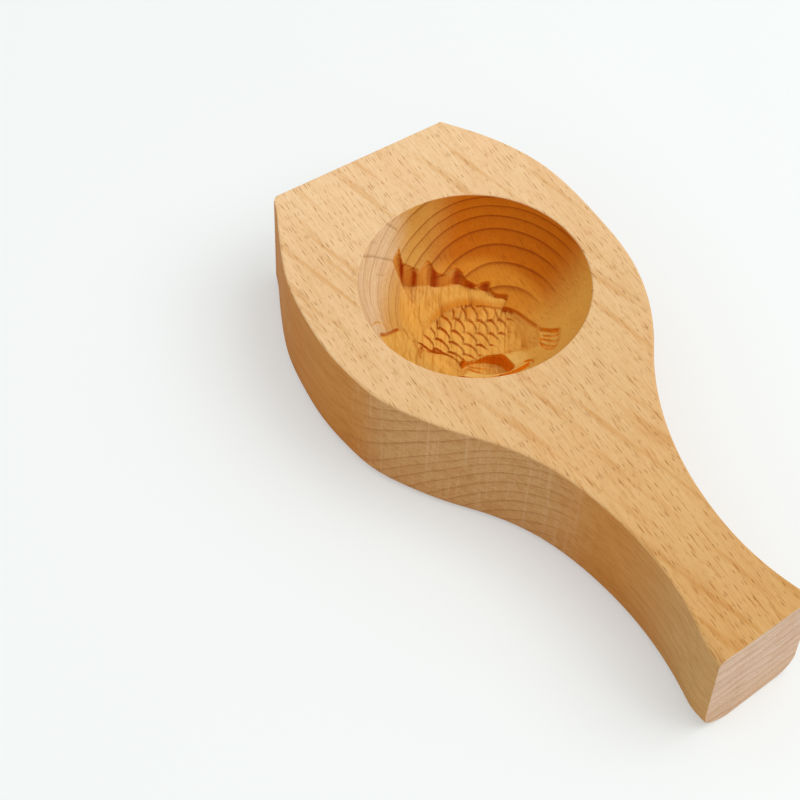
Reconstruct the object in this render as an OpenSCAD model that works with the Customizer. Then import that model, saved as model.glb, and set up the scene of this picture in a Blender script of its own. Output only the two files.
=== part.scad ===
// Wooden mooncake mould: one block of beech with a carved bowl and a waisted handle.
// X runs from the flat head end to the handle end and Z is up. The origin is the middle
// of the underside. All sizes are in millimetres.

/* [Block] */
// Length along the centre line
length = 200; // [185:1:215]
// Greatest width, across the head
head_w = 100; // [92:1:108]
// Distance from the flat head end to the widest place
head_at = 55; // [48:1:60]
// Width of the flat head end
front_w = 60; // [50:1:70]
// Narrowest width of the handle
neck_w = 24; // [18:1:30]
// Distance from the flat head end to the narrowest place
neck_at = 166; // [155:1:175]
// Thickness of the block
thick = 36; // [33:1:44]
// Rounding of the long top edges
top_round = 2.5; // [1:0.5:4]
// Rounding of the long bottom edges
bottom_round = 5; // [2:0.5:8]
// Angle by which the handle end is sawn out of square, in degrees
end_skew = 5; // [0:1:8]

/* [Bowl] */
// Diameter of the rim
bowl_d = 70; // [64:1:76]
// Depth of the smooth bowl
bowl_depth = 23.5; // [21:0.5:25]
// Distance from the flat head end to the middle of the bowl
bowl_at = 61; // [57:1:66]

/* [Carp] */
// Least distance from the rim to the carving, seen from above
carp_margin = 2.5; // [2:0.5:6]
// How far the flat floor of the back fin lies below the deepest place of the smooth bowl
fin_drop = 1.5; // [0.5:0.5:3]
// How far the scaled body is sunk into the bowl
body_sink = 2.8; // [2:0.2:3.4]
// Drop from the body to the step round the gill cover
gill_rim_drop = 0.6; // [0.2:0.2:1]
// Drop from that step to the gill cover
gill_drop = 0.6; // [0.2:0.2:1]
// Width of the step round the gill cover
gill_step = 1.6; // [1:0.2:2.4]
// Drop from the gill cover to the breast fin
breast_drop = 0.6; // [0.2:0.2:1]
// How much less the tail and the barbel are sunk than the body
tail_rise = 1; // [0.4:0.2:1.4]
// Diameter of the raised eye
eye_d = 3; // [2:0.5:4]
// Width of the barbel
barbel_w = 2.6; // [2:0.2:3.4]
// Number of gouge cuts along the edge of the back fin
prongs = 5; // [3:1:6]
// Width of one gouge cut
prong_w = 4.4; // [3:0.2:5]

/* [Hidden] */
$fn = 96;
wood = "burlywood";
// Extra length by which a cutting shape passes the face that it cuts
over = 1;

// Each long side is a convex arc round the head that runs on into a concave arc along the handle
half_head = head_w / 2;
half_neck = neck_w / 2;
head_drop = half_head - front_w / 2;
head_r = (head_at ^ 2 + head_drop ^ 2) / (2 * head_drop);
neck_drop = half_head - half_neck;
handle_r = ((neck_at - head_at) ^ 2 + neck_drop ^ 2) / (2 * neck_drop) - head_r;
head_c = [head_at, half_head - head_r];
handle_c = [neck_at, half_neck + handle_r];
// They meet on the line through their centres, which is turned by this angle from X
arcs_turn = atan2(handle_c[1] - head_c[1], handle_c[0] - head_c[0]);
// The slanted end meets the longer side of the handle this far from the centre line
end_slope = tan(end_skew);
past_neck = length - neck_at;
end_b = handle_c[1] - end_slope * past_neck;
end_a = 1 + end_slope ^ 2;
long_half = (end_b - sqrt(end_b ^ 2 - end_a * (past_neck ^ 2 + handle_c[1] ^ 2 - handle_r ^ 2))) / end_a;
overall = length + long_half * end_slope;

// The bowl is part of a sphere whose centre lies above the top face
bowl_r = ((bowl_d / 2) ^ 2 + bowl_depth ^ 2) / (2 * bowl_depth);
bowl_rise = bowl_r - bowl_depth;

// The carp is drawn round the middle of the bowl, within this radius, and scaled to the rim
drawn_r = 32.5;
carp_scale = (bowl_d / 2 - carp_margin) / drawn_r;
// A length that passes the whole drawing
past = 2 * drawn_r;
// The body curls round a hollow on the belly side, which opens out below the tail
body_c = [10.5, -2];
body_r = 21.5;
hollow_c = [17, 1];
hollow_r = 9.5;
hollow_top = past / 4;
gill_c = [6.5, -17];
gill_r = 11;
gill_rim_sink = body_sink + gill_rim_drop;
gill_sink = gill_rim_sink + gill_drop;
eye_at = [3, -21];
breast_c = [13.5, -2.5];
breast_r = 7;
breast_sink = gill_sink + breast_drop;
// The back fin lies on a nearly flat floor, between its front edge and its last prong
fin_depth = bowl_depth + fin_drop;
fin_floor_r = 90;
fin_c = [16, -17];
fin_r = 41.5;
fin_front = [[-9, -19], [-29, -9]];
fin_back = -4;
first_prong = 167;
last_prong = 121;
prong_out = 1.2;
tail_sink = body_sink - tail_rise;
// Centre and radius of each lobe of the tail
tail_lobes = [[27, 6, 4.5], [28, 0, 4], [22.5, -4.5, 3.5]];
barbel_c = [16, -14];
barbel_r = 7;
curl_c = [17.5, -21.5];
curl_r = 3;

// What comes off a square corner at the origin to round it
module corner_cut(round) {
    difference() {
        translate([-round, -over])
            square(round + over);
        translate([-round, round])
            circle(r = round);
    }
}

// Puts a shape on the centre of the head arc, with its X towards the centre of the handle arc
module on_arc_line() {
    translate([head_c[0], head_c[1], 0])
        rotate(arcs_turn)
            children();
}

// All that lies on the head's side of the line through the arc centres
module head_side() {
    on_arc_line()
        translate([-length, 0, -over])
            cube([2 * length, length, thick + 2 * over]);
}

// One side of the head: a disc with rounded edges
module head_disc() {
    on_arc_line()
        rotate(180)
            rotate_extrude()
                difference() {
                    square([head_r, thick]);
                    translate([head_r, 0])
                        corner_cut(bottom_round);
                    translate([head_r, thick])
                        mirror([0, 1])
                            corner_cut(top_round);
                }
}

// Cutter for one side of the handle, flared to leave rounded edges
module handle_cutter() {
    on_arc_line()
        translate([head_r, 0, 0])
            translate([handle_r, 0, 0])
                rotate_extrude() {
                    translate([0, -over])
                        square([handle_r, thick + 2 * over]);
                    translate([handle_r, 0])
                        mirror([1, 0])
                            corner_cut(bottom_round);
                    translate([handle_r, thick])
                        rotate(180)
                            corner_cut(top_round);
                }
}

// Half of a plank that is long enough for the slanted end
module half_plank() {
    cube([length + half_head * end_slope, half_head, thick]);
}

// Half of the uncut block, on one side of the centre line
module half_blank() {
    intersection() {
        half_plank();
        head_side();
        head_disc();
    }
    difference() {
        half_plank();
        head_side();
        handle_cutter();
    }
}

// The uncut block, measured from the flat head end
module blank() {
    difference() {
        union() {
            half_blank();
            mirror([0, 1, 0])
                half_blank();
        }
        translate([length, 0, -over])
            rotate(end_skew)
                translate([0, -half_head, 0])
                    cube([half_head, head_w, thick + 2 * over]);
    }
}

// Ball of the bowl, grown by the depth of a carving
module bowl_ball(sink) {
    translate([0, 0, bowl_rise])
        sphere(r = bowl_r + sink);
}

// Space over a flat drawing of the carp, from above the top face down past the bowl
module carp_prism() {
    translate([0, 0, -thick])
        linear_extrude(thick + over)
            scale(carp_scale)
                children();
}

// A part of the carp that follows the bowl at an even depth
module sunk(sink) {
    intersection() {
        carp_prism()
            children();
        bowl_ball(sink);
    }
}

module body_outline() {
    difference() {
        translate(body_c)
            circle(r = body_r);
        translate(hollow_c)
            circle(r = hollow_r);
        polygon([hollow_c, [past, hollow_top], [past, -past], [hollow_c[0], -past]]);
        translate([-past, gill_c[1] - past])
            square([2 * past, past]);
    }
}

module back_fin_outline() {
    intersection() {
        translate(fin_c)
            circle(r = fin_r);
        polygon([fin_front[0], fin_front[1], [-past, past], [fin_back, past], [fin_back, 0]]);
    }
    for (i = [0 : prongs - 1])
        translate(fin_c)
            rotate(first_prong + (last_prong - first_prong) * i / (prongs - 1))
                translate([fin_r + prong_out, 0])
                    circle(d = prong_w);
}

module barbel_outline() {
    difference() {
        translate(barbel_c)
            circle(r = barbel_r + barbel_w / 2);
        translate(barbel_c)
            circle(r = barbel_r - barbel_w / 2);
        translate([barbel_c[0] - past, -past])
            square([past, 2 * past]);
    }
    difference() {
        translate(curl_c)
            circle(r = curl_r);
        translate(curl_c)
            circle(r = curl_r / 2);
    }
}

// The carp, as the hollow that it leaves in the bowl
module carp() {
    intersection() {
        carp_prism()
            back_fin_outline();
        translate([0, 0, fin_floor_r - fin_depth])
            sphere(r = fin_floor_r);
    }
    sunk(body_sink)
        body_outline();
    sunk(gill_rim_sink)
        translate(gill_c)
            circle(r = gill_r);
    sunk(gill_sink)
        translate(gill_c)
            circle(r = gill_r - gill_step);
    sunk(breast_sink)
        translate(breast_c)
            circle(r = breast_r);
    sunk(tail_sink)
        for (lobe = tail_lobes)
            translate([lobe[0], lobe[1]])
                circle(r = lobe[2]);
    sunk(tail_sink)
        barbel_outline();
}

// The eye stands up from the floor of the gill cover
module eye() {
    at = eye_at * carp_scale;
    floor_z = bowl_rise - sqrt((bowl_r + gill_sink) ^ 2 - norm(at) ^ 2);
    translate([at[0], at[1], floor_z])
        sphere(d = eye_d);
}

module mould_block() {
    color(wood)
        translate([-overall / 2, 0, 0]) {
            difference() {
                blank();
                translate([bowl_at, 0, thick]) {
                    bowl_ball(0);
                    carp();
                }
            }
            translate([bowl_at, 0, thick])
                eye();
        }
}

mould_block();
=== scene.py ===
"""Looks of a wooden mooncake mould: one beech block with a waisted handle and a bowl carved with a carp."""
import math

import bmesh
import bpy
import numpy as np
from mathutils import Matrix, Vector


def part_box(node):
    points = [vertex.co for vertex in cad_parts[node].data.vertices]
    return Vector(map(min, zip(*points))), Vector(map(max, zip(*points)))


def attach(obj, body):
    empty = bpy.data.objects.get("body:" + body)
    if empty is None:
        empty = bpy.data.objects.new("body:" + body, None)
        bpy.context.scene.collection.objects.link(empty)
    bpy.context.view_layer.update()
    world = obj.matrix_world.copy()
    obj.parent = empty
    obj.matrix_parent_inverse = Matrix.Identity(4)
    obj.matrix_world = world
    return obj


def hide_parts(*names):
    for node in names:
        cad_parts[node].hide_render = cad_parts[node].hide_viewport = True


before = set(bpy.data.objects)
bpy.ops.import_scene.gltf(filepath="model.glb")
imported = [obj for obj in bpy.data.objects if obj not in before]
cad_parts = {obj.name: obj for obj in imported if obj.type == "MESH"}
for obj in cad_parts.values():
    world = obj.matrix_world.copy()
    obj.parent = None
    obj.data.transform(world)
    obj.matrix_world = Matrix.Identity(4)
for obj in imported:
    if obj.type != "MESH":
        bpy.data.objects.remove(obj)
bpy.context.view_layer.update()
block_low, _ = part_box("mould_block")

# Sizes of the block, in metres, measured from the flat head end
LENGTH = 0.200
HEAD_W = 0.100
HEAD_AT = 0.055
FRONT_W = 0.060
NECK_W = 0.024
NECK_AT = 0.166
THICK = 0.036
TOP_ROUND = 0.0009
BOTTOM_ROUND = 0.005
ROUND_STEPS = 6
END_SLOPE = math.tan(math.radians(5))
END_EASE = 0.0004
BOWL_AT = 0.061
HEAD_END = block_low.x
RIM = Vector((HEAD_END + BOWL_AT, 0, THICK))
MM = 0.001

HEAD_DROP = (HEAD_W - FRONT_W) / 2
HEAD_R = (HEAD_AT ** 2 + HEAD_DROP ** 2) / (2 * HEAD_DROP)
NECK_DROP = (HEAD_W - NECK_W) / 2
HANDLE_R = ((NECK_AT - HEAD_AT) ** 2 + NECK_DROP ** 2) / (2 * NECK_DROP) - HEAD_R
ARCS_MEET = HEAD_AT + (NECK_AT - HEAD_AT) * HEAD_R / (HEAD_R + HANDLE_R)

# Where hand sanding has left the sides off their arcs: the place, its spread and the change, in millimetres
NEAR_TRIM = ((0, 5, 1.8), (18, 14, -1.3), (44, 14, -0.9), (82, 10, 0.9), (122, 21, -1.5), (203, 5, -2.6))
FAR_TRIM = ((0, 18, -1.1), (55, 22, -2.1), (185, 25, -0.8))
# How far each side of the head end is sawn out of square, in metres
HEAD_SKEW = ((1, -0.0004), (-1, 0.0008))

# The sides are sawn in this many steps. Lengths that differ by less than SAME are equal, and points of one
# step lie closer together than ONE_CUT along X
OUTLINE_STEPS = 80
SAME = 1e-6
ONE_CUT = 0.0009

# The bowl, in millimetres: the round form, how the rim departs from it, and the fine sheet that is carved
RIM_R = 35.0
BOWL_DEPTH = 23.5
BOWL_R = (RIM_R ** 2 + BOWL_DEPTH ** 2) / (2 * BOWL_DEPTH)
BOWL_RISE = BOWL_R - BOWL_DEPTH
RIM_MEAN = 35.15
RIM_SWAY = 1.08
RIM_OVAL = (-0.10, -0.64)
RIM_SOFT = 0.3
CARVED_R = 37.6
CARVED_CELLS = 300


def half_width(x):
    """Half the width of the block at a distance from its flat head end."""
    if x < ARCS_MEET:
        return HEAD_W / 2 - HEAD_R + math.sqrt(HEAD_R ** 2 - (x - HEAD_AT) ** 2)
    return NECK_W / 2 + HANDLE_R - math.sqrt(HANDLE_R ** 2 - (x - NECK_AT) ** 2)


def side_half(x, side):
    """Half the width on the side with that sign of Y, as sanded."""
    trims = NEAR_TRIM if side < 0 else FAR_TRIM
    trim = sum(change * math.exp(-((x / MM - place) / spread) ** 2) for place, spread, change in trims)
    return half_width(x) + MM * trim


def end_half(side):
    """Half the width of the slanted handle end, on one side, found by closing in on it."""
    y = half_width(LENGTH)
    for _ in range(20):
        y = side_half(LENGTH - side * END_SLOPE * y, side)
    return y


def share(x, start, run):
    """How much of a run from its start a place has passed, from 0 to 1."""
    return min(max((x - start) / run, 0), 1)


def round_of(x, side, top):
    """Width and depth of the rounding of a long edge, as the sanding has left it."""
    if top:
        crisp = 0.45 + 0.55 * share(x, 0, 0.02)
        worn = share(x, 0.185, 0.015) ** 2 if side < 0 else 0
        return TOP_ROUND * (crisp + 5.5 * worn), TOP_ROUND * (crisp + 2.7 * worn)
    handle = share(x, 0.12, 0.08)
    if side > 0:
        far = BOTTOM_ROUND * (0.75 + 0.75 * handle)
        return far, far
    near = 0.6 + 0.1 * handle
    tip = share(x, 0.17, 0.03) ** 2
    return BOTTOM_ROUND * (near + 1.1 * tip), BOTTOM_ROUND * (near + 0.6 * tip)


def pick(ob, verts=None, edges=None, faces=None):
    """Select what passes the test in edit mode, and nothing else."""
    bpy.ops.mesh.select_all(action="DESELECT")
    bm = bmesh.from_edit_mesh(ob.data)
    for group, test in ((bm.verts, verts), (bm.edges, edges), (bm.faces, faces)):
        if test is None:
            continue
        for item in group:
            if test(item):
                item.select_set(True)
    bmesh.update_edit_mesh(ob.data)


def mode(select):
    """Choose whether points, edges or faces are selected."""
    bpy.ops.mesh.select_mode(type=select)


def saw_outline(ob, cuts):
    """Slice the plank across at each cut, and bring its sides in to the outline there."""
    mode("VERT")
    for x in cuts:
        bpy.ops.mesh.select_all(action="SELECT")
        bpy.ops.mesh.bisect(plane_co=(HEAD_END + x, 0, 0), plane_no=(1, 0, 0))
    for side in (1, -1):
        for x in [0] + cuts:
            pick(ob, verts=lambda v: abs(v.co.x - HEAD_END - x) < SAME and v.co.y * side > 0)
            bpy.ops.transform.translate(value=(0, side * (side_half(x, side) - HEAD_W / 2), 0))
        y = end_half(side)
        pick(ob, verts=lambda v: v.co.x > HEAD_END + LENGTH - SAME and v.co.y * side > 0
             and abs(abs(v.co.y) - HEAD_W / 2) < SAME)
        bpy.ops.transform.translate(value=(-side * END_SLOPE * y, side * (y - HEAD_W / 2), 0))


def round_long_edges(ob, cuts):
    """Bevel the long edges evenly, then size the rounding at each cut."""
    rounds = ((True, THICK, TOP_ROUND), (False, 0, BOTTOM_ROUND))
    mode("EDGE")
    for _, level, size in rounds:
        pick(ob, edges=lambda e: all(abs(v.co.z - level) < SAME for v in e.verts)
             and e.verts[0].co.y * e.verts[1].co.y > 0)
        bpy.ops.mesh.bevel(offset=size, segments=ROUND_STEPS, profile=0.5, affect="EDGES",
                           clamp_overlap=False)
    mode("VERT")
    for x in [0] + cuts + [LENGTH]:
        for side in (1, -1):
            y = end_half(side) if x == LENGTH else side_half(x, side)
            at = HEAD_END + x - (side * END_SLOPE * y if x == LENGTH else 0)
            for top, level, size in rounds:
                wide, deep = round_of(x, side, top)
                pick(ob, verts=lambda v: abs(v.co.x - at) < ONE_CUT and v.co.y * side > 0
                     and abs(v.co.z - level) < size + SAME)
                bpy.ops.transform.resize(value=(1, wide / size, deep / size),
                                         center_override=(at, side * y, level))


def ease_ends(ob):
    """Turn the head end a little out of square, and break the edges round both ends."""
    mode("VERT")
    for side, shift in HEAD_SKEW:
        pick(ob, verts=lambda v: v.co.x < HEAD_END + ONE_CUT and v.co.y * side > 0)
        bpy.ops.transform.translate(value=(shift, 0, 0))
    mode("FACE")
    end_way = Vector((1, END_SLOPE, 0)).normalized()
    pick(ob, faces=lambda f: f.normal.x < -0.99 or f.normal.dot(end_way) > 0.9999)
    bpy.ops.mesh.region_to_loop()
    bpy.ops.mesh.bevel(offset=END_EASE, segments=2, profile=0.5, affect="EDGES", clamp_overlap=False)


def sawn_block():
    """The plank, sawn to its outline, with its long edges rounded, its ends eased and its top left open."""
    bpy.ops.object.select_all(action="DESELECT")
    bpy.ops.mesh.primitive_cube_add(size=1, location=(HEAD_END + LENGTH / 2, 0, THICK / 2))
    ob = bpy.context.object
    ob.name = "carved_mould"
    bpy.ops.transform.resize(value=(LENGTH, HEAD_W, THICK))
    bpy.ops.object.transform_apply(location=True, rotation=True, scale=True)
    bpy.ops.object.mode_set(mode="EDIT")
    cuts = [LENGTH * i / OUTLINE_STEPS for i in range(1, OUTLINE_STEPS)]
    saw_outline(ob, cuts)
    round_long_edges(ob, cuts)
    ease_ends(ob)
    mode("FACE")
    pick(ob, faces=lambda f: f.normal.z > 0.999 and f.calc_center_median().z > THICK - SAME)
    bpy.ops.mesh.delete(type="FACE")
    bpy.ops.object.mode_set(mode="OBJECT")
    return ob


def ease(a, b, x):
    """0 before a and 1 past b, with a smooth rise between them."""
    t = np.clip((x - a) / (b - a), 0, 1)
    return t * t * (3 - 2 * t)


def soft_min(a, b, k):
    """The lower of two heights, blended where they are closer than k."""
    h = np.maximum(k - np.abs(a - b), 0) / k
    return np.minimum(a, b) - h * h * k / 4


def soft_max(a, b, k):
    """The higher of two heights, blended in the same way."""
    return -soft_min(-a, -b, k)


def smooth_line(points, closed, steps=12):
    """Points along a smooth curve through the given ones."""
    p = np.array(points, float)
    n = len(p)
    out = []
    for i in range(n if closed else n - 1):
        a, b, c, d = (p[(i + k) % n] if closed else p[min(max(i + k, 0), n - 1)] for k in (-1, 0, 1, 2))
        for t in np.arange(steps) / steps:
            out.append(0.5 * (2 * b + (c - a) * t + (2 * a - 5 * b + 4 * c - d) * t ** 2
                              + (3 * b - a - 3 * c + d) * t ** 3))
    if not closed:
        out.append(p[-1])
    return np.array(out)


def away(x, y, line):
    """Distance from a line of points, and how far along it the nearest place is, from 0 to 1."""
    best = np.full(x.shape, 1e9)
    along = np.zeros(x.shape)
    n = len(line) - 1
    for i in range(n):
        a, b = line[i], line[i + 1]
        d = b - a
        t = np.clip(((x - a[0]) * d[0] + (y - a[1]) * d[1]) / max(d @ d, 1e-12), 0, 1)
        gap = np.hypot(x - a[0] - t * d[0], y - a[1] - t * d[1])
        closer = gap < best
        best = np.where(closer, gap, best)
        along = np.where(closer, (i + t) / n, along)
    return best, along


def within(x, y, line):
    """Distance inside a closed outline; it is negative outside."""
    line = np.vstack([line, line[:1]])
    inner = np.zeros(x.shape, bool)
    for a, b in zip(line[:-1], line[1:]):
        crosses = (a[1] > y) != (b[1] > y)
        inner ^= crosses & (x < (b[0] - a[0]) * (y - a[1]) / (b[1] - a[1] + 1e-12) + a[0])
    gap, _ = away(x, y, line)
    return np.where(inner, gap, -gap)


# The carp, in millimetres from the middle of the bowl: X towards the handle, Y towards the far side.
# The back fin's wall runs from its top down to its edge, and its root closes its outline under the body
FIN_TOP = ((-9.4, -18.8), (-14.3, -16.5), (-17.5, -14.4), (-20.9, -11.8), (-24, -10.6), (-26.9, -10.4),
           (-28.4, -8.6), (-29.3, -6.8), (-28.1, -7.0), (-26.6, -7.2), (-25.9, -7.0), (-25.2, -5.5),
           (-24.2, -3.9), (-23.7, -2.6), (-24.4, -1.6), (-25.0, -0.3), (-25.0, 0.7), (-24.4, 1.6),
           (-23.5, 1.8), (-22.5, 1.9), (-21.2, 2.4), (-20.0, 3.9), (-19.6, 5.5), (-19.7, 6.6), (-19.9, 7.7),
           (-19.6, 8.7), (-18.8, 9.3), (-17.8, 9.5), (-16.8, 9.3), (-15.7, 9.6), (-14.6, 10.3),
           (-12.8, 11.5), (-12.6, 12.9), (-11.9, 14.6), (-10.9, 15.0), (-9.7, 14.0), (-8.0, 14.3),
           (-6.4, 15.4), (-5.6, 16.4), (-4.2, 17.1), (-3.2, 16.2))
FIN_EDGE = ((-6.5, -14.5), (-11.4, -12.4), (-14.9, -10.4), (-18.3, -8), (-21.6, -7.6), (-24.8, -7.5),
            (-25.3, -6.9), (-24.4, -5.4), (-23.4, -3.9), (-22.5, -1.9), (-21.7, -0.1), (-20.5, 0.7),
            (-19.4, 2.6), (-18.4, 4.9), (-18.4, 6.1), (-17.2, 8.1), (-15.6, 9), (-13.4, 10.6), (-11.6, 12.6),
            (-10.2, 13.6), (-8.3, 13.9), (-6.5, 14.6), (-5, 15.9), (-3.6, 16.2))
FIN_ROOT = ((0, 10), (0, -8), (-5, -16))
BACK_LINE = ((-4.5, -16.5), (-7.5, -11), (-9.6, -5), (-10.4, 1), (-10, 4.6), (-8.8, 6.6), (-6.1, 10.5),
             (-1.8, 14.5), (2.5, 16.3), (8, 16.8), (11.3, 17))
BELLY_LINE = ((13.6, 15.7), (16.2, 14.4), (18.4, 12.2), (17.5, 8.6), (15.6, 7.8), (14.2, 6), (13.2, 4.2),
              (11.5, 2.8), (9.5, 0.6), (8, -3), (7, -6.5), (3, -10), (-1, -14))
HEAD = ((-3.5, -29.8), (-5.4, -26.5), (-6.9, -23.7), (-8.3, -20.6), (-8.0, -18.4), (-6, -17.3), (-3, -15),
        (2, -11), (9, -9), (13.5, -13), (14, -22), (9, -28.5), (2, -30.5))
GILL_C = (6.0, -15.2)
GILL_R = 9.0
EYE_C = (4.4, -22.4)
BREAST = ((7, -5.6), (7.5, -2.6), (9.2, 0.5), (11.8, 3), (14.4, 3.6), (18, 3), (21.4, 1.8), (22.6, -1.5),
          (18.5, -7), (12, -9.5), (8.4, -8.6))
BREAST_RAYS_FROM = (6, -8)
TAIL = ((11.2, 16.9), (13.8, 17.3), (16.5, 18.2), (19.2, 19.4), (21.1, 18.3), (23.3, 16.4), (25.5, 14.1),
        (25.9, 12.3), (24.9, 11.4), (18.8, 12.5), (16.1, 14.1), (13, 15.6))
TAIL_RAYS = (((14.3, 17.3), (15.9, 17.7), (17.9, 18.1), (19.3, 19)),
             ((16.2, 16.1), (17.9, 16.6), (19.4, 17.1), (20.5, 18.1)),
             ((16.7, 15), (18.8, 15.3), (21.2, 15.5), (22.8, 16.2)),
             ((18.4, 13.6), (20.4, 13.6), (22.6, 13.8), (24.5, 14.3)),
             ((21.5, 12.7), (23.3, 12.8), (24.8, 13.4)))
BARBEL = ((12, -16), (18, -13.5), (22.5, -8), (24.5, -1), (24.6, 4.5), (23.4, 6.3), (22, 5.4))
CURL_C = (17.5, -21.0)
CURL_R = 2.2
LIP_LINE = ((-5.2, -31.6), (-7.7, -29.1), (-9.1, -27), (-9.3, -25.4), (-8.5, -24.7), (-7.7, -24.3))
HEAD_LINE = ((-12.9, -16.6), (-9.9, -17.5), (-7.4, -18.0), (-5.4, -17.7), (-3.4, -16.9))
GILL_MARK = ((-3.5, -16.8), (-1.9, -16.6), (-0.4, -16.5))
# Single strokes of the knife: the line, its depth and reach, and how dark and wide its painted shade is
STROKES = ((smooth_line(LIP_LINE, False), 0.3, 0.6, 0.5, 0.3),
           (smooth_line(HEAD_LINE, False, 6), 0.14, 0.75, 0.4, 0.25),
           (smooth_line(GILL_MARK, False, 6), 0.315, 1.2, 0.9, 0.4))
# Fine drying cracks in the wall at the head end, each with its strength
CHECKS = ((0.9, ((-33.5, -9.8), (-33.2, -7.9), (-32.5, -5.8))),
          (1.0, ((-25.2, -24.1), (-26.4, -20.2), (-27.2, -16.9), (-27.2, -13.3), (-27, -10.1))),
          (0.4, ((-29.3, -18.8), (-30, -14.1))), (0.4, ((-23.3, -18.5), (-23.6, -15.4))))
CHECK_WIDE = 0.16
CHECK_DEEP = 0.25

# Levels from the top face, which are negative, and depths below the smooth bowl. The eye rises from the
# head, and the carving's steep walls fall WALL_SLOPE times as fast as they run in
FIN_FLOOR = -22.1
BACK_LEVEL = -22.6
BODY_FALL = 2.9
BODY_SINK = 3.6
SCALES_SINK = 2.5
SCALE_DEPTH = 1.05
WALL_SLOPE = 7.0
HEAD_SINK = 1.6
GILL_SINK = 4.4
GILL_FLOOR = -26.3
EYE_RISE = 0.9
BREAST_SINK = 4.2
TAIL_SINK = 0.8
TAIL_RAY_DEPTH = 0.5
BARBEL_SINK = 1.9
CURL_SINK = 2.0

# Where the gouge has cut deepest along the fin's wall, across the view, and how wide; the flutes are only
# painted, as shade on the wall
FLUTES = ((-20.9, 0.7), (-17, 0.9), (-10.7, 1.5), (-3.8, 1.4), (0.4, 1.9), (4.7, 1.4), (9.6, 3))
# Fine rays in the fin's floor: their depth, how close they lie, and how far and how fast they waver
FIN_RAYS = ((0.035, 4.9, 0.6, 0.5), (0.03, 2.7, 0.9, 0.4))
# The scale in row m and column n lies at this sum of 1, m, n, m m, m n and n n, for X and for Y
SCALES_X = (-7.16, 2.66, -3.2, -0.06, -0.2, 0.01)
SCALES_Y = (-7.8, 3.71, 2.91, -0.12, -0.14, 0.1)
SCALE_ROWS = range(14, -6, -1)
# The way that runs across the view, and how far a place slides along the view for each millimetre of depth
ACROSS = (0.562, 0.827)
VIEW_SLIDE = (0.648, -0.44)


def across_view(x, y):
    """How far a place lies across the view."""
    return ACROSS[0] * x + ACROSS[1] * y


def reach(x, y):
    """Distance from the middle of the bowl, which is not quite round: the rim is at RIM_R."""
    turn = np.arctan2(y, x)
    oval = RIM_OVAL[0] * np.cos(2 * turn) + RIM_OVAL[1] * np.sin(2 * turn)
    rim = RIM_MEAN + RIM_SWAY * np.sin(turn) + oval
    return np.hypot(x, y) * RIM_R / rim


def bowl_level(r):
    """Height of the smooth bowl."""
    return BOWL_RISE - np.sqrt(np.maximum(BOWL_R ** 2 - r ** 2, 1.0))


def fin_level(x, y, bowl):
    """Height with the back fin, a flat floor with fine rays under a fluted wall, and where that wall is."""
    root = np.array(FIN_ROOT, float)
    edge = within(x, y, np.vstack([smooth_line(FIN_EDGE, False), root]))
    top = within(x, y, np.vstack([smooth_line(FIN_TOP, False), root]))
    over = across_view(x, y)
    rays = sum(deep * np.cos(over * close + sway * np.sin(along * fast))
               for (deep, close, sway, fast), along in zip(FIN_RAYS, (x, y)))
    floor = FIN_FLOOR - rays * ease(0.3, 2.0, edge) + 0.9 * ease(-12, -3, x) * ease(12, 16, y)
    out = np.clip(-edge, 0, None)
    rise = out / (out + np.clip(top, 1e-3, None))
    cut = np.where(edge > 0, floor, floor + (bowl - floor) * rise)
    z = np.where(top > 0, np.minimum(bowl, cut), bowl)
    wall = ease(0, 0.3, top) * ease(0.15, -0.1, edge) * ease(0.1, 0.6, bowl - z)
    return z, wall


def lattice(c, m, n):
    """One coordinate of a scale, and how fast it grows with the row and with the column."""
    place = c[0] + c[1] * m + c[2] * n + c[3] * m * m + c[4] * m * n + c[5] * n * n
    return place, c[1] + 2 * c[3] * m + c[4] * n, c[2] + c[4] * m + 2 * c[5] * n


def row_and_column(x, y):
    """The row and column of the scales at a place, as fractions, found by closing in on them."""
    m = np.zeros(x.shape)
    n = np.zeros(x.shape)
    for _ in range(6):
        at_x, xm, xn = lattice(SCALES_X, m, n)
        at_y, ym, yn = lattice(SCALES_Y, m, n)
        ex, ey = at_x - x, at_y - y
        det = xm * yn - xn * ym
        det = np.where(np.abs(det) < 2.0, 2.0, det)
        m = np.clip(m - (ex * yn - ey * xn) / det, -12, 14)
        n = np.clip(n - (ey * xm - ex * ym) / det, -12, 12)
    return m, n


def scale_depth(x, y):
    """Rows of overlapping scales, deepest at their rounded edges, and where those edges are."""
    m, n = row_and_column(x, y)
    row, side = m + n, m - n + 0.25
    depth = np.zeros(x.shape)
    edges = np.zeros(x.shape)
    for k in SCALE_ROWS:
        middle = 2 * np.round((side - k % 2) / 2) + k % 2
        across = side - middle
        bend = 1 - np.sqrt(np.clip(1 - across ** 2, 0, 1))
        gap = k + 0.14 - 0.78 * bend - row
        # The stop cut is firmest along the upper part of each edge, where its painted shade is strongest
        firm = ease(-1, -0.6, across) * (1 - 0.6 * ease(0.2, 1, across))
        depth = np.where(gap > 0, SCALE_DEPTH * ease(1.5, 0, gap) * (1 - 0.3 * across ** 2), depth)
        edges = np.where(gap > 0, ease(0.28, 0.05, gap) * firm, edges)
    return depth, edges


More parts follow.
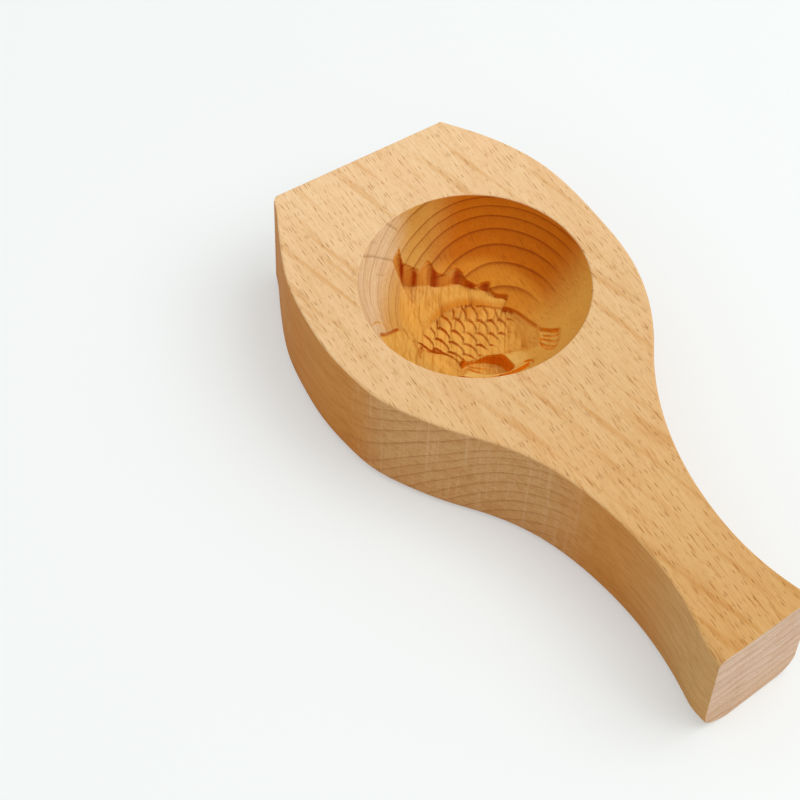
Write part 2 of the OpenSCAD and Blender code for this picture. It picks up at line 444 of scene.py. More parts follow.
def body_level(x, y, bowl, fin_z):
    """Height with the scaled body cut in beside the back fin, and the edges of its scales, which get painted
    shade.
    """
    back = smooth_line(BACK_LINE, False)
    body = within(x, y, np.vstack([back, smooth_line(BELLY_LINE, False)]))
    from_back, _ = away(x, y, back)
    deepest = BACK_LEVEL - BODY_FALL * ease(0, 8, from_back)
    skin = soft_max(deepest, bowl - BODY_SINK + 1.3 * ease(17, 22, np.hypot(x, y)), 0.6)
    scaled = ease(9.5, 5.5, x + 0.25 * y) * ease(-16.0, -14.0, y)
    # The scales are laid out on a surface at an even depth, so they are moved along the view to this one
    lower = bowl - SCALES_SINK - skin
    depth, edges = scale_depth(x + VIEW_SLIDE[0] * lower, y + VIEW_SLIDE[1] * lower)
    skin = skin - (depth - 0.5) * scaled
    # The body runs smoothly out of the fin along its back
    skin = skin + (fin_z - skin) * ease(0.3, 1.5, bowl - fin_z) * ease(1.8, 0, body)
    # Behind the fin the back is a low step with a slope under it
    step = ease(-2, 2, x) * ease(3, 8, y)
    steep = WALL_SLOPE * np.maximum(body, 0)
    wall = bowl - steep + (steep - np.minimum(steep, 0.6 + 0.65 * body)) * step
    z = np.where(body > 0, np.minimum(fin_z, np.maximum(skin, wall)), fin_z)
    return z, edges * scaled * (body > 0.4)


def head_level(x, y, bowl, z):
    """Height with the head, its gill cover and its eye cut in, and where the cover runs out with no wall."""
    head = within(x, y, smooth_line(HEAD, True))
    mouth = ease(-17.4, -19.2, y)
    lip = (0.5 + 4.5 * mouth) * np.maximum(head + 2.5 * (1 - mouth), 0)
    z = np.minimum(z, bowl - np.minimum(HEAD_SINK + 0.8 * ease(0, 9, head), lip))
    gill = GILL_R - np.hypot(x - GILL_C[0], y - GILL_C[1])
    cover = np.maximum(bowl - GILL_SINK, GILL_FLOOR) - 0.6 * ease(1.6, 4.5, gill)
    lean = across_view(x - GILL_C[0], y - GILL_C[1])
    slope = 0.5 + 4.5 * ease(-7.5, -3.0, lean)
    z = np.minimum(z, np.maximum(cover, bowl - slope * np.maximum(gill, 0)))
    eye = np.hypot(x - EYE_C[0], y - EYE_C[1])
    z = z + EYE_RISE * ease(1.9, 0.2, eye)
    return z, ease(0.3, 1.0, gill) * ease(-1, -3, lean)


def breast_level(x, y, bowl, z):
    """Height with the breast fin cut in, its rays spread like a fan."""
    breast = within(x, y, smooth_line(BREAST, True))
    fan = np.arctan2(y - BREAST_RAYS_FROM[1], x - BREAST_RAYS_FROM[0])
    rays = 0.25 * np.cos(fan * 24) * ease(0.5, 2, breast)
    sink = BREAST_SINK + 0.8 * ease(8, 14, x) + rays
    return np.minimum(z, bowl - np.minimum(sink, WALL_SLOPE * np.maximum(breast, 0)))


def tail_level(x, y, bowl, z):
    """Height with the tail and its rays cut in, and the lines of the rays, which get painted shade."""
    tail = within(x, y, smooth_line(TAIL, True))
    z = np.minimum(z, bowl - np.minimum(TAIL_SINK, np.maximum(tail, 0)))
    lines = np.zeros(x.shape)
    for ray in TAIL_RAYS:
        line = smooth_line(ray, False, 6)
        gap, _ = away(x, y, line)
        side = (x - line[0, 0]) * (line[-1, 1] - line[0, 1]) - (y - line[0, 1]) * (line[-1, 0] - line[0, 0])
        z = z - TAIL_RAY_DEPTH * np.where(side > 0, ease(1.2, 0, gap), 0) * ease(-0.2, 0.8, tail)
        lines = np.maximum(lines, 1.1 * np.exp(-(gap / 0.28) ** 2) * (tail > -0.6))
    return z, lines


def barbel_level(x, y, bowl, z):
    """Height with the barbel, which thins towards its tip, and the curl cut in."""
    gap, along = away(x, y, smooth_line(BARBEL, False))
    wide = 1 - 0.6 * ease(0.55, 0.9, along)
    z = np.minimum(z, bowl - BARBEL_SINK * wide * ease(1.7 * wide, 0.5 * wide, gap))
    ring = np.abs(np.hypot(x - CURL_C[0], y - CURL_C[1]) - CURL_R)
    return np.minimum(z, bowl - CURL_SINK * ease(1.4, 0.4, ring))


def carve(x, y):
    """Height of the carved bowl below the top face, its lines of painted shade, and where the painted wall
    shade is stronger or weaker.
    """
    bowl = bowl_level(reach(x, y))
    fin_z, fin_wall = fin_level(x, y, bowl)
    body_z, edges = body_level(x, y, bowl, fin_z)
    z, run_out = head_level(x, y, bowl, body_z)
    z = breast_level(x, y, bowl, z)
    z, rays = tail_level(x, y, bowl, z)
    # The scales end where another part is cut deeper
    lines = np.maximum(edges * (np.abs(z - body_z) < SAME), rays)
    z = barbel_level(x, y, bowl, z)
    for stroke, deep, far, dark, wide in STROKES:
        gap, _ = away(x, y, stroke)
        z = z - deep * ease(far, 0, gap)
        lines = np.maximum(lines, dark * np.exp(-(gap / wide) ** 2))
    return soft_min(np.zeros(x.shape), z, RIM_SOFT), lines, fin_wall, run_out


def dry_cracks(x, y):
    """Strength of the drying cracks."""
    cracks = np.zeros(x.shape)
    for strength, points in CHECKS:
        gap, _ = away(x, y, smooth_line(points, False, 6))
        cracks = np.maximum(cracks, strength * np.exp(-(gap / CHECK_WIDE) ** 2))
    return cracks


def flutes(x, y):
    """Where the gouge has fluted the fin's wall, as a mask for painted shade in the flutes."""
    over = across_view(x, y)
    flute_shade = np.zeros(x.shape)
    for place, wide in FLUTES:
        flute_shade = np.maximum(flute_shade, np.exp(-((over - place) / wide) ** 2))
    return flute_shade * (within(x, y, smooth_line(FIN_TOP + FIN_ROOT, False)) > 0)


def round_out(u, v):
    """Spread a square of points, 2 on a side, over the carved disc, ring by ring."""
    wide = np.abs(u) >= np.abs(v)
    big = np.where(wide, u, v)
    small = np.where(wide, v, u)
    turn = np.where(big == 0, 0, small / np.where(big == 0, 1, big)) * math.pi / 4
    near, off = big * np.cos(turn), big * np.sin(turn)
    return np.where(wide, near, off) * CARVED_R, np.where(wide, off, near) * CARVED_R


def rows_of(ob, kind):
    """The places or the normals of a mesh's points, one to a row."""
    flat = np.zeros(len(ob.data.vertices) * 3, np.float32)
    ob.data.vertices.foreach_get(kind, flat)
    return flat.reshape(-1, 3)


def mark(ob, name, values):
    """Keep a number for each point of a mesh, for its material."""
    layer = ob.data.attributes.new(name, "FLOAT", "POINT")
    layer.data.foreach_set("value", np.ascontiguousarray(values, np.float32))


def carved_bowl():
    """The inside of the bowl as a fine sheet, out to a flat ring round the rim."""
    bpy.ops.object.select_all(action="DESELECT")
    bpy.ops.mesh.primitive_grid_add(x_subdivisions=CARVED_CELLS, y_subdivisions=CARVED_CELLS, size=2,
                                    location=(0, 0, 0))
    ob = bpy.context.object
    ob.name = "carved_bowl"
    square = rows_of(ob, "co").astype(float)
    x, y = round_out(square[:, 0], square[:, 1])
    z, lines, fin_wall, run_out = carve(x, y)
    cracks = dry_cracks(x, y)
    z = z - CHECK_DEEP * cracks * (z < -1.0)
    z[np.hypot(x, y) > CARVED_R - 1e-4] = 0
    places = np.stack([RIM.x + x * MM, RIM.y + y * MM, RIM.z + z * MM], 1)
    ob.data.vertices.foreach_set("co", places.astype(np.float32).ravel())
    ob.data.update()

    bowl = bowl_level(reach(x, y))
    inward = np.stack([-x, -y, BOWL_RISE - bowl], 1) / BOWL_R
    steep = 1 - (rows_of(ob, "normal") * inward).sum(1)
    wall = np.maximum(np.clip(steep / 0.6, 0, 1), 0.62 * fin_wall) * (1 - 0.85 * run_out)
    # The fin's left side is scraped to a slope, so the painted wall shade is left off there
    scraped = ease(-5, -7, x) * ease(-26.5, -24.5, x) * ease(-7.8, -8.8, y) * ease(-21, -18.6, y)
    mark(ob, "cut_depth", np.clip((bowl - z) / 3, 0, 1) * (z < -0.5))
    # Painted shade on the carving's steep walls, its scale edges, the tail's rays and the knife strokes
    mark(ob, "cut_wall_shade", np.maximum(wall * (1 - scraped), 0.6 * lines) * (z < -2.0))
    mark(ob, "dry_check", cracks * (z < -0.3))
    # Where the fin's wall gets painted shade in the flutes
    mark(ob, "flute_shade", flutes(x, y))
    return ob


def carved_mould():
    """The block and its carved bowl as one closed piece."""
    block = sawn_block()
    bowl = carved_bowl()
    bpy.ops.object.select_all(action="DESELECT")
    bowl.select_set(True)
    block.select_set(True)
    bpy.context.view_layer.objects.active = block
    bpy.ops.object.join()
    bpy.ops.object.mode_set(mode="EDIT")
    mode("EDGE")
    pick(block, edges=lambda e: e.is_boundary)
    bpy.ops.mesh.fill(use_beauty=True)
    mode("VERT")
    bpy.ops.mesh.select_all(action="SELECT")
    bpy.ops.mesh.normals_make_consistent(inside=False)
    bpy.ops.object.mode_set(mode="OBJECT")
    bpy.ops.object.shade_smooth()
    weighted = block.modifiers.new("even_faces", "WEIGHTED_NORMAL")
    weighted.weight = 50
    weighted.keep_sharp = True
    bpy.ops.object.modifier_apply(modifier="even_faces")
    block.data.name = "carved_mould"
    return block


class Nodes:
    """Short ways to place and join the nodes of one material."""

    def __init__(self, name):
        self.mat = bpy.data.materials.new(name)
        self.mat.use_nodes = True
        self.tree = self.mat.node_tree
        self.shader = self.tree.nodes["Principled BSDF"]

    def add(self, kind, ins=(), **props):
        """Place a node with these properties, and feed its inputs."""
        item = self.tree.nodes.new(kind)
        for key, value in props.items():
            setattr(item, key, value)
        for key, value in dict(ins).items():
            self.feed(item.inputs[key], value)
        return item

    def feed(self, socket, value):
        """Join an input to another node's output, or set it to a value."""
        if isinstance(value, bpy.types.NodeSocket):
            self.tree.links.new(value, socket)
        else:
            socket.default_value = value

    def math(self, how, a, b=0.0, c=0.0):
        return self.add("ShaderNodeMath", {0: a, 1: b, 2: c}, operation=how).outputs[0]

    def times(self, first, *others):
        """The product of some values."""
        for other in others:
            first = self.math("MULTIPLY", first, other)
        return first

    def multiply_add(self, a, factor, b):
        """A value times a factor, plus another value."""
        return self.math("MULTIPLY_ADD", a, factor, b)

    def bell(self, value, wide):
        """1 where a value is 0, falling off smoothly over a width."""
        off = self.math("DIVIDE", value, wide)
        return self.math("EXPONENT", self.times(off, off, -1.0))

    def vector(self, how, a, b=(0, 0, 0)):
        item = self.add("ShaderNodeVectorMath", {0: a, 1: b}, operation=how)
        return item.outputs["Value" if how in ("DOT_PRODUCT", "LENGTH") else "Vector"]

    def split(self, vector):
        parts = self.add("ShaderNodeSeparateXYZ", {0: vector}).outputs
        return parts["X"], parts["Y"], parts["Z"]

    def mapped(self, vector, **how):
        """A place as it is seen from a frame that is moved, turned or scaled."""
        return self.add("ShaderNodeMapping", {"Vector": vector, **how}, vector_type="TEXTURE").outputs[0]

    def ramp(self, value, low, high, to_low=0.0, to_high=1.0, smooth=True):
        """A value carried over from one range to another, and held at its ends."""
        ins = {"Value": value, "From Min": low, "From Max": high, "To Min": to_low, "To Max": to_high}
        kind = "SMOOTHSTEP" if smooth else "LINEAR"
        return self.add("ShaderNodeMapRange", ins, interpolation_type=kind).outputs["Result"]

    def mix(self, amount, a, b, how="MIX"):
        item = self.add("ShaderNodeMix", data_type="RGBA", blend_type=how)
        self.feed(item.inputs["Factor"], amount)
        self.feed([s for s in item.inputs if s.name == "A" and s.type == "RGBA"][0], a)
        self.feed([s for s in item.inputs if s.name == "B" and s.type == "RGBA"][0], b)
        return [s for s in item.outputs if s.type == "RGBA"][0]

    def tint(self, colour, amount, ink):
        """A colour darkened by an ink where the amount is 1."""
        return self.mix(amount, colour, ink, "MULTIPLY")

    def noise(self, vector, stretch, detail=2.0, rough=0.5):
        """Noise that is finer along an axis where the stretch is larger."""
        ins = {"Vector": self.vector("MULTIPLY", vector, stretch), "Scale": 1.0, "Detail": detail,
               "Roughness": rough}
        return self.add("ShaderNodeTexNoise", ins).outputs["Fac"]

    def number(self, name):
        """A number that the mesh keeps for each point."""
        return self.add("ShaderNodeAttribute", attribute_name=name, attribute_type="GEOMETRY").outputs["Fac"]


def rgb(r, g, b):
    return (r, g, b, 1)


# Colours of the outside, from the top round to the sawn ends, and of the pale streaks on the shoulder
HEAD_TOP = rgb(0.90, 0.63, 0.362)
# The sides are painted darker than the top as painted shade, and the shoulder lighter as painted light where
# it turns towards the lamp
HANDLE_TOP = rgb(0.69, 0.408, 0.155)
SHADED_LONG_SIDE = rgb(0.595, 0.265, 0.063)
LIT_SHOULDER_SIDE = rgb(0.625, 0.36, 0.155)
SHADED_HANDLE_SIDE = rgb(0.605, 0.37, 0.15)
END_GRAIN = rgb(0.735, 0.55, 0.42)
SHOULDER_STREAK = rgb(0.74, 0.52, 0.30)

# Colours of the bowl, of the carving in it, and of the carving's steep walls
# The bowl's deep orange wall is painted shade, and its floor, handle wall, belly and head wall are painted
# light, the palest partly the paler cross-cut wood
SHADED_BOWL_WALL = rgb(0.56, 0.152, 0.005)
LIT_BOWL_FLOOR = rgb(0.70, 0.265, 0.024)
LIT_BOWL_HANDLE_WALL = rgb(0.79, 0.42, 0.08)
LIT_BOWL_BELLY = rgb(0.87, 0.54, 0.15)
LIT_BOWL_HEAD_WALL = rgb(0.68, 0.355, 0.075)
PALE_LIT_BOWL_WALL = rgb(0.82, 0.60, 0.36)
CARVED = rgb(0.84, 0.455, 0.093)
CARVED_HEAD = rgb(0.66, 0.40, 0.10)
CARVED_LEFT = rgb(0.87, 0.53, 0.15)
# The carving's steep walls are painted shade, darkest in the flutes
FIN_WALL_SHADE = rgb(0.66, 0.22, 0.014)
FIN_WALL_LEFT_SHADE = rgb(0.78, 0.36, 0.06)
FIN_FLUTE_SHADE = rgb(0.43, 0.055, 0.0005)
BODY_WALL_SHADE = rgb(0.50, 0.115, 0.004)
BREAST_WALL_SHADE = rgb(0.80, 0.235, 0.006)

# Inks that darken what they cover
TOOL_INK = rgb(0.82, 0.67, 0.45)
LATE_INK = rgb(0.66, 0.46, 0.26)
RING_INK = rgb(0.55, 0.36, 0.2)
THIN_INK = rgb(0.66, 0.52, 0.42)
LOW_SHADE_INK = rgb(0.97, 0.86, 0.72)
END_INK = rgb(0.82, 0.74, 0.68)
WEAR_INK = rgb(0.86, 0.76, 0.62)
TRACE_INK = rgb(0.86, 0.74, 0.58)
FLECK_INK = rgb(0.54, 0.38, 0.25)
SMALL_INK = rgb(0.6, 0.46, 0.33)
LONG_INK = rgb(0.74, 0.55, 0.36)
FIBRE_INK = rgb(0.86, 0.78, 0.66)
MOTTLE_INK = rgb(0.92, 0.85, 0.74)
BAND_INK = rgb(0.9, 0.8, 0.66)
CLOUD_INK = rgb(1.0, 0.92, 0.88)
CHECK_INK = rgb(0.3, 0.2, 0.12)

# How the grain, the tool marks and the long traces on top are turned from X
GRAIN_TURN = math.radians(-2.7)
TOOL_TURN = math.radians(-34.2)
TRACE_TURN = math.radians(12)

# The heart of the tree lies below the far side: its turn and tilt, and its place in millimetres from the rim
HEART_TURN = math.radians(-11.97)
HEART_TILT = math.radians(5.43)
HEART_OFF = 28.19
HEART_Z = -83.81
# Growth rings, in millimetres from the heart: the first, the step between them, and where it is uneven.
# A knot bends them round a place that is measured from the rim
FIRST_RING = 70.68
RING_STEP = 3.55
UNEVEN_AT = 87
UNEVEN_WIDE = 4
KNOT_AT = (-7, -30, -7)
KNOT_WIDE = 6


class Where:
    """Where a point of the wood lies, in millimetres from the rim and as masks, and which way it faces."""

    def __init__(self, k):
        coords = k.add("ShaderNodeTexCoord")
        self.point = k.mapped(coords.outputs["Object"], Location=RIM, Scale=(MM, MM, MM))
        self.x, self.y, self.z = k.split(self.point)
        self.grain = k.mapped(self.point, Rotation=(0, 0, GRAIN_TURN))
        facing = coords.outputs["Normal"]
        self.facing_x, _, self.up = k.split(facing)
        centre = k.vector("LENGTH", k.vector("MULTIPLY", self.point, (1, 1, 0)))
        self.bowl = k.times(k.ramp(centre, 37.5, 37.2), k.ramp(self.z, -0.15, -0.5))
        self.outer = k.math("SUBTRACT", 1.0, self.bowl)
        self.along = k.vector("DOT_PRODUCT", facing, (math.cos(GRAIN_TURN), math.sin(GRAIN_TURN), 0))
        self.sawn = k.times(k.ramp(k.math("ABSOLUTE", self.along), 0.85, 0.96), self.outer)
        self.shoulder = k.times(k.ramp(self.along, 0.02, 0.46), k.ramp(self.x, 90, 62))
        # How far a surface faces the lamp across the plan; the bowl's wall towards the head faces it and
        # cuts across the grain
        self.facing_lamp = k.vector("DOT_PRODUCT", facing, (0.6, 0.8, 0))
        self.pale = k.ramp(self.facing_lamp, 0.5, 0.7)
        self.cut = k.number("cut_depth")
        self.wall = k.number("cut_wall_shade")
        self.check = k.number("dry_check")
        self.flute_shade = k.number("flute_shade")


def outside_colour(k, at):
    """Paler on top towards the head, brown with painted shade on the sides, painted light on the shoulder,
    pinker on sawn ends.
    """
    top = k.mix(k.ramp(at.x, -60, 130, smooth=False), HEAD_TOP, HANDLE_TOP)
    # Painted shade on the sides, and painted light where they turn towards the lamp
    side = k.mix(k.ramp(at.along, 0.15, 0.5), SHADED_LONG_SIDE, LIT_SHOULDER_SIDE)
    side = k.mix(k.ramp(at.x, 85, 138), side, SHADED_HANDLE_SIDE)
    side = k.mix(at.sawn, side, END_GRAIN)
    return k.mix(k.ramp(at.up, 0.35, 0.8), side, top)


def wall_shade_colour(k, at, fin_left):
    """Painted shade on the carving's steep walls: darkest in the flutes of the fin's wall, and lighter under
    the breast fin.
    """
    colour = k.mix(fin_left, FIN_WALL_SHADE, FIN_WALL_LEFT_SHADE)
    colour = k.mix(at.flute_shade, colour, FIN_FLUTE_SHADE)
    colour = k.mix(k.ramp(at.x, -10, -8), colour, BODY_WALL_SHADE)
    return k.mix(k.ramp(at.x, 4, 9), colour, BREAST_WALL_SHADE)


def bowl_colour(k, at):
    """Deep orange painted shade on the wall and a paler floor, painted light towards the handle, by the
    belly and where the wall faces the lamp, paler across the grain and in the carving, and painted shade on
    its steep walls.
    """
    # Painted shade: deep orange on the steeper wall, lighter on the floor
    colour = k.mix(k.ramp(at.up, 0.765, 0.84), SHADED_BOWL_WALL, LIT_BOWL_FLOOR)
    # Painted light on the wall towards the handle
    colour = k.mix(k.ramp(at.facing_x, 0.04, -0.55), colour, LIT_BOWL_HANDLE_WALL)
    # Painted light on the floor by the belly, where the rim casts shade
    belly = k.times(k.ramp(at.x, 12, 17), k.ramp(at.y, 10, 6), k.ramp(at.up, 0.78, 0.85))
    colour = k.mix(belly, colour, LIT_BOWL_BELLY)
    # Painted light where the wall faces the lamp, palest high up, on the paler cross-cut wood
    colour = k.mix(k.ramp(at.facing_lamp, 0.15, 0.55), colour, LIT_BOWL_HEAD_WALL)
    pale_lit = k.times(k.ramp(at.facing_lamp, 0.54, 0.77), k.ramp(at.z, -17, -7, 0.1, 1.0))
    colour = k.mix(pale_lit, colour, PALE_LIT_BOWL_WALL)
    carved = k.ramp(at.cut, 0.1, 0.5)
    colour = k.mix(carved, colour, CARVED)
    colour = k.mix(k.times(k.ramp(at.y, -11, -18, 0.0, 0.6), at.cut), colour, CARVED_HEAD)
    fin_left = k.ramp(at.x, -15, -22)
    colour = k.mix(k.times(fin_left, carved), colour, CARVED_LEFT)
    # Painted shade on the carving's steep walls, its scale edges, the tail's rays and the knife strokes
    colour = k.mix(k.ramp(at.wall, 0.15, 0.7), colour, wall_shade_colour(k, at, fin_left))
    scored = k.mapped(at.point, Rotation=(0, 0, TOOL_TURN))
    tooled = k.noise(scored, (0.12, 1.5, 0.1), 3.0, 0.65)
    return k.tint(colour, k.times(k.ramp(tooled, 0.45, 0.66), at.cut), TOOL_INK)


def ring_count(k, at):
    """How many growth rings lie between a point and the first one."""
    middle = (-math.sin(HEART_TURN) * HEART_OFF, math.cos(HEART_TURN) * HEART_OFF, HEART_Z)
    trunk = k.mapped(at.point, Location=middle, Rotation=(0, -HEART_TILT, HEART_TURN))
    wobble = k.noise(at.point, (0.012, 0.05, 0.05))
    radius = k.vector("LENGTH", k.vector("MULTIPLY", trunk, (0, 1, 1)))
    radius = k.math("ADD", radius, k.multiply_add(wobble, 1.6, -0.8))
    count = k.math("DIVIDE", k.math("SUBTRACT", radius, FIRST_RING), RING_STEP)
    uneven = k.bell(k.math("SUBTRACT", radius, UNEVEN_AT), UNEVEN_WIDE)
    count = k.multiply_add(uneven, 0.5, count)
    knot = k.bell(k.vector("LENGTH", k.vector("SUBTRACT", at.point, KNOT_AT)), KNOT_WIDE)
    count = k.multiply_add(knot, 1.2, count)
    # They lie flat in the handle, so the sawn end shows them level
    flat = k.multiply_add(at.z, 0.23, k.multiply_add(wobble, 0.9, 0.05))
    return k.multiply_add(at.sawn, k.math("SUBTRACT", flat, count), count)


def ringed(k, at, colour):
    """Growth rings, clear in the bowl, on the shoulder and on the sawn ends and faint elsewhere."""
    count = ring_count(k, at)
    season = k.math("FRACT", count)
    late = k.math("POWER", season, 2.2)
    line = k.times(k.ramp(season, 0.78, 0.97), k.ramp(season, 1.0, 0.985))
    clear = k.math("MAXIMUM", k.times(at.shoulder, 0.5), k.times(at.sawn, 0.4))
    clear = k.times(k.math("MAXIMUM", clear, 0.07), k.ramp(at.up, 0.3, 0.05))
    hollow = k.times(k.multiply_add(at.cut, -0.85, 1.0), k.ramp(at.facing_x, -0.3, 0.12),
                     k.multiply_add(at.pale, -0.55, 1.0))
    shown = k.multiply_add(at.bowl, k.math("SUBTRACT", hollow, clear), clear)
    colour = k.tint(colour, k.times(late, 0.4, shown), LATE_INK)
    colour = k.tint(colour, k.times(line, 0.7, shown), RING_INK)
    # Finer lines show between them where the wall cuts across the grain
    thin = k.ramp(k.math("FRACT", k.times(count, 2.6)), 0.7, 0.95, 0.0, 0.3)
    return k.tint(colour, k.times(thin, at.pale, at.bowl, k.ramp(at.cut, 0.3, 0.1)), THIN_INK)


def worn(k, at, colour):
    """The outside, painted darker low down as shade and darker on the sides, and streaked on its ends, its
    shoulder and its top.
    """
    # Painted shade: darker towards the bottom of the outside
    colour = k.tint(colour, k.times(k.ramp(at.z, -16, -35, 0.0, 0.6), at.outer), LOW_SHADE_INK)
    fine = k.noise(at.point, (0.0, 0.05, 1.1), 3.0, 0.6)
    colour = k.tint(colour, k.times(k.ramp(fine, 0.45, 0.7), at.sawn, 0.7), END_INK)
    wear = k.noise(at.grain, (0.03, 0.8, 0.8), 4.0, 0.65)
    wear = k.times(k.ramp(wear, 0.42, 0.66, 0.0, 0.6), at.outer, k.ramp(at.up, 0.4, 0.1))
    colour = k.tint(colour, k.times(wear, k.math("SUBTRACT", 1.0, at.sawn)), WEAR_INK)
    upright = k.noise(at.point, (0.9, 0.9, 0.02), 3.0, 0.7)
    streak = k.times(k.ramp(upright, 0.5, 0.72), at.shoulder, at.outer, 0.35)
    colour = k.mix(streak, colour, SHOULDER_STREAK)
    trace = k.noise(k.mapped(at.point, Rotation=(0, 0, TRACE_TURN)), (0.018, 0.27, 0.0))
    traced = k.times(k.ramp(trace, 0.53, 0.68, 0.0, 0.75), at.outer, k.ramp(at.up, 0.7, 0.95))
    return k.tint(colour, traced, TRACE_INK)


def dashes(k, plan, cell, half, faint):
    """Short dark dashes along X, one to a cell of the given size, some fainter or shorter than others."""
    grid = k.vector("DIVIDE", plan, (cell[0], cell[1], 1))
    cells = k.add("ShaderNodeTexVoronoi", {"Vector": grid, "Scale": 1.0}, voronoi_dimensions="2D")
    off = k.vector("SUBTRACT", cells.outputs["Position"], grid)
    off = k.vector("MULTIPLY", off, (cell[0] / half[0], cell[1] / half[1], 0))
    chance = k.add("ShaderNodeSeparateColor", {0: cells.outputs["Color"]})
    shorter = k.ramp(chance.outputs["Green"], 0, 1, 0.55, 2.2, False)
    shape = k.add("ShaderNodeCombineXYZ", {0: shorter, 1: 1.0})
    inked = k.ramp(k.vector("LENGTH", k.vector("MULTIPLY", off, shape.outputs[0])), 1.0, 0.3)
    return k.times(inked, k.ramp(chance.outputs["Red"], faint, 1.0))


def flecked(k, at, colour, fleck):
    """Ray flecks of three sizes on what faces up, the long ones mostly on the handle."""
    shown = k.times(k.ramp(at.up, 0.35, 0.7), k.ramp(at.facing_lamp, 0.5, 0.3),
                    k.multiply_add(at.bowl, -0.45, 1.0))
    small = dashes(k, at.grain, (3.0, 0.7), (1.3, 0.12), 0.4)
    long = dashes(k, at.grain, (11.0, 2.3), (4.4, 0.34), 0.2)
    towards_handle = k.ramp(at.x, 0, 110, 0.15, 0.85, False)
    sizes = ((fleck, 1.0, FLECK_INK), (small, 0.75, SMALL_INK), (long, towards_handle, LONG_INK))
    for dash, strength, ink in sizes:
        colour = k.tint(colour, k.times(dash, strength, shown), ink)
    return colour


def fibrous(k, at, colour, fibre):
    """Fibres, mottling and broad bands along the grain, and the drying cracks."""
    mottle = k.noise(at.grain, (0.25, 1.0, 1.0), 3.0, 0.6)
    band = k.noise(at.grain, (0.012, 0.16, 0.16))
    cloud = k.noise(at.point, (0.045, 0.045, 0.045))
    layers = ((fibre, 0.4, 0.7, 0.6, FIBRE_INK), (mottle, 0.4, 0.7, 0.4, MOTTLE_INK),
              (band, 0.45, 0.7, 0.4, BAND_INK), (cloud, 0.4, 0.65, 0.3, CLOUD_INK))
    for field, low, high, most, ink in layers:
        colour = k.tint(colour, k.ramp(field, low, high, 0.0, most), ink)
    return k.tint(colour, k.times(at.check, 0.55), CHECK_INK)


def beech():
    """Sanded beech: growth rings, ray flecks and fibres that run right through the block."""
    k = Nodes("beech")
    at = Where(k)
    fleck = dashes(k, at.grain, (4.8, 0.95), (2.1, 0.17), 0.42)
    fibre = k.noise(at.grain, (0.07, 1.7, 1.7), 3.0, 0.6)
    colour = k.mix(at.bowl, outside_colour(k, at), bowl_colour(k, at))
    colour = ringed(k, at, colour)
    colour = worn(k, at, colour)
    colour = flecked(k, at, colour, fleck)
    colour = fibrous(k, at, colour, fibre)
    k.feed(k.shader.inputs["Base Color"], colour)
    k.shader.inputs["Roughness"].default_value = 0.6
    k.shader.inputs["Specular IOR Level"].default_value = 0.06
    height = k.multiply_add(fleck, -0.6, k.times(fibre, 0.5))
    bump = k.add("ShaderNodeBump", {"Height": height, "Strength": 0.25, "Distance": 0.0002})
    k.feed(k.shader.inputs["Normal"], bump.outputs[0])
    return k.mat


# The room: sizes and places in metres, and how strongly each thing shines
FLOOR_WIDE = 12
FLOOR_COLOUR = rgb(0.88, 0.91, 0.9)
FLOOR_GLOW = rgb(0.97, 1.0, 1.0)
FLOOR_GLOW_SHARE = 0.36
ROOM_GLOW = 0.70
WINDOW_AT = Vector((0.45, 0.6, 1.3))
WINDOW_WIDE = 1.2
WINDOW_WATTS = 10.5

# The camera: angles in degrees, focal length in pixels of the square frame, and metres from the rim
CAMERA_AZIMUTH = 55.789
CAMERA_ELEVATION = 51.925
CAMERA_ROLL = 2.404
FOCAL_PX = 2133.3
FRAME_PX = 800
SENSOR_MM = 36
CAMERA_FROM_RIM = Vector((0.33043, -0.24847, 0.47068))


def pale_floor():
    """A floor that the camera sees as nearly white, with a soft shadow left on it."""
    k = Nodes("pale_floor")
    k.shader.inputs["Base Color"].default_value = FLOOR_COLOUR
    k.shader.inputs["Roughness"].default_value = 0.9
    rays = k.add("ShaderNodeLightPath").outputs
    glow = k.add("ShaderNodeEmission", {"Color": FLOOR_GLOW, "Strength": 1.0})
    seen = k.math("MAXIMUM", rays["Is Camera Ray"], rays["Is Glossy Ray"])
    both = k.add("ShaderNodeMixShader", {0: k.times(seen, FLOOR_GLOW_SHARE), 1: k.shader.outputs[0],
                                         2: glow.outputs[0]})
    k.feed(k.tree.nodes["Material Output"].inputs["Surface"], both.outputs[0])
    return k.mat


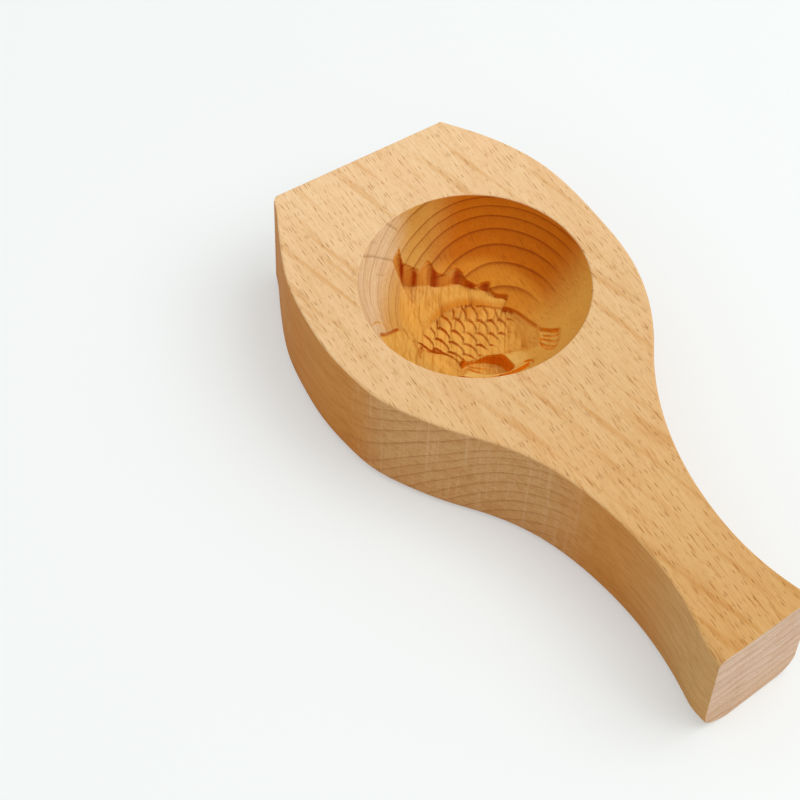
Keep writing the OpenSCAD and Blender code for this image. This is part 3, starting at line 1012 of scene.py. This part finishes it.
def lit_room():
    """A pale floor, a soft light from the right and an even glow all round."""
    bpy.ops.object.select_all(action="DESELECT")
    bpy.ops.mesh.primitive_plane_add(size=FLOOR_WIDE, location=(0, 0, 0))
    floor = bpy.context.object
    floor.name = "floor"
    floor.data.materials.append(pale_floor())
    world = bpy.data.worlds.new("studio")
    world.use_nodes = True
    background = world.node_tree.nodes["Background"]
    background.inputs["Color"].default_value = (1, 1, 1, 1)
    background.inputs["Strength"].default_value = ROOM_GLOW
    bpy.context.scene.world = world
    lamp = bpy.data.lights.new("soft_window", "AREA")
    lamp.shape = "RECTANGLE"
    lamp.size = WINDOW_WIDE
    lamp.size_y = WINDOW_WIDE
    lamp.energy = WINDOW_WATTS
    window = bpy.data.objects.new("soft_window", lamp)
    bpy.context.scene.collection.objects.link(window)
    window.location = WINDOW_AT
    window.rotation_euler = (-WINDOW_AT).to_track_quat("-Z", "Y").to_euler()


def photo_camera():
    """The camera at the photograph's viewing angle, placed from the rim of the bowl."""
    az, el, roll = (math.radians(angle) for angle in (CAMERA_AZIMUTH, CAMERA_ELEVATION, CAMERA_ROLL))
    back = Vector((math.sin(az) * math.cos(el), -math.cos(az) * math.cos(el), math.sin(el)))
    level = (-back).cross(Vector((0, 0, 1))).normalized()
    plumb = level.cross(-back)
    right = math.cos(roll) * level + math.sin(roll) * plumb
    up = -math.sin(roll) * level + math.cos(roll) * plumb
    data = bpy.data.cameras.new("photo_camera")
    data.sensor_width = SENSOR_MM
    data.lens = FOCAL_PX * SENSOR_MM / FRAME_PX
    data.clip_start = 0.05
    camera = bpy.data.objects.new("photo_camera", data)
    bpy.context.scene.collection.objects.link(camera)
    turn = Matrix((right, up, back)).transposed().to_4x4()
    camera.matrix_world = Matrix.Translation(RIM + CAMERA_FROM_RIM) @ turn
    bpy.context.scene.camera = camera


mould = carved_mould()
mould.data.materials.clear()
mould.data.materials.append(beech())
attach(mould, "root")
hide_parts("mould_block")
lit_room()
photo_camera()
bpy.context.scene.view_settings.view_transform = "Standard"
